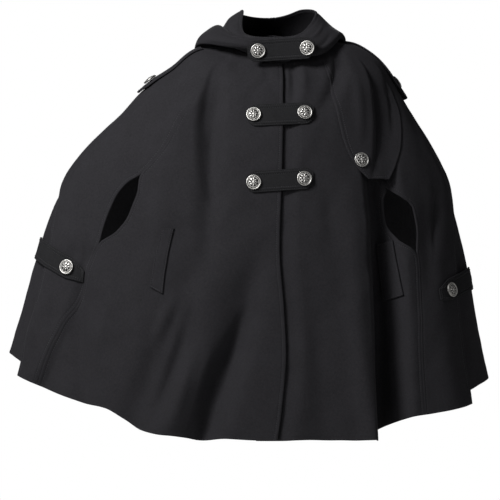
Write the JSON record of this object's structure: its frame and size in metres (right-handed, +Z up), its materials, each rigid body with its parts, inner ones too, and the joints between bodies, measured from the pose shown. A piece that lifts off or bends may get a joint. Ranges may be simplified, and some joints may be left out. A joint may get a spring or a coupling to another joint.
{
  "type": "hooded wool cape coat (hooded poncho)",
  "caption": "Hollow wool cape coat as worn, hood lying down, front closed by buttoned straps, with arm slits, epaulettes, storm flap and side straps.",
  "frame": {"origin": "the middle of the base of the neck, level with the top of the shoulders, where the wearer's shoulders hold the garment", "axes": "+Z up, the front faces -Y, the wearer's left is +X"},
  "size_m": [0.9814, 0.5407, 0.8969],
  "materials": {
    "wool": "charcoal-black milled wool, matt with a short nap",
    "silver": "silver-plated cast metal, darkened in its recesses"
  },
  "bodies": {
    "root": {"front_right": "wool", "front_left": "wool", "side_right": "wool", "side_left": "wool", "back": "wool", "hood_right": "wool", "hood_left": "wool", "collar_tab": "wool", "chest_tab": "wool", "waist_tab": "wool", "storm_flap": "wool", "epaulette_right": "wool", "epaulette_left": "wool", "side_tab_right": "wool", "side_tab_left": "wool", "pocket_welt_right": "wool", "pocket_welt_left": "wool", "collar_button_right": "silver", "collar_button_left": "silver", "chest_button_right": "silver", "chest_button_left": "silver", "waist_button_right": "silver", "waist_button_left": "silver", "flap_button": "silver", "epaulette_button_right": "silver", "epaulette_button_left": "silver", "side_button_right": "silver", "side_button_left": "silver"}
  },
  "joints": []
}
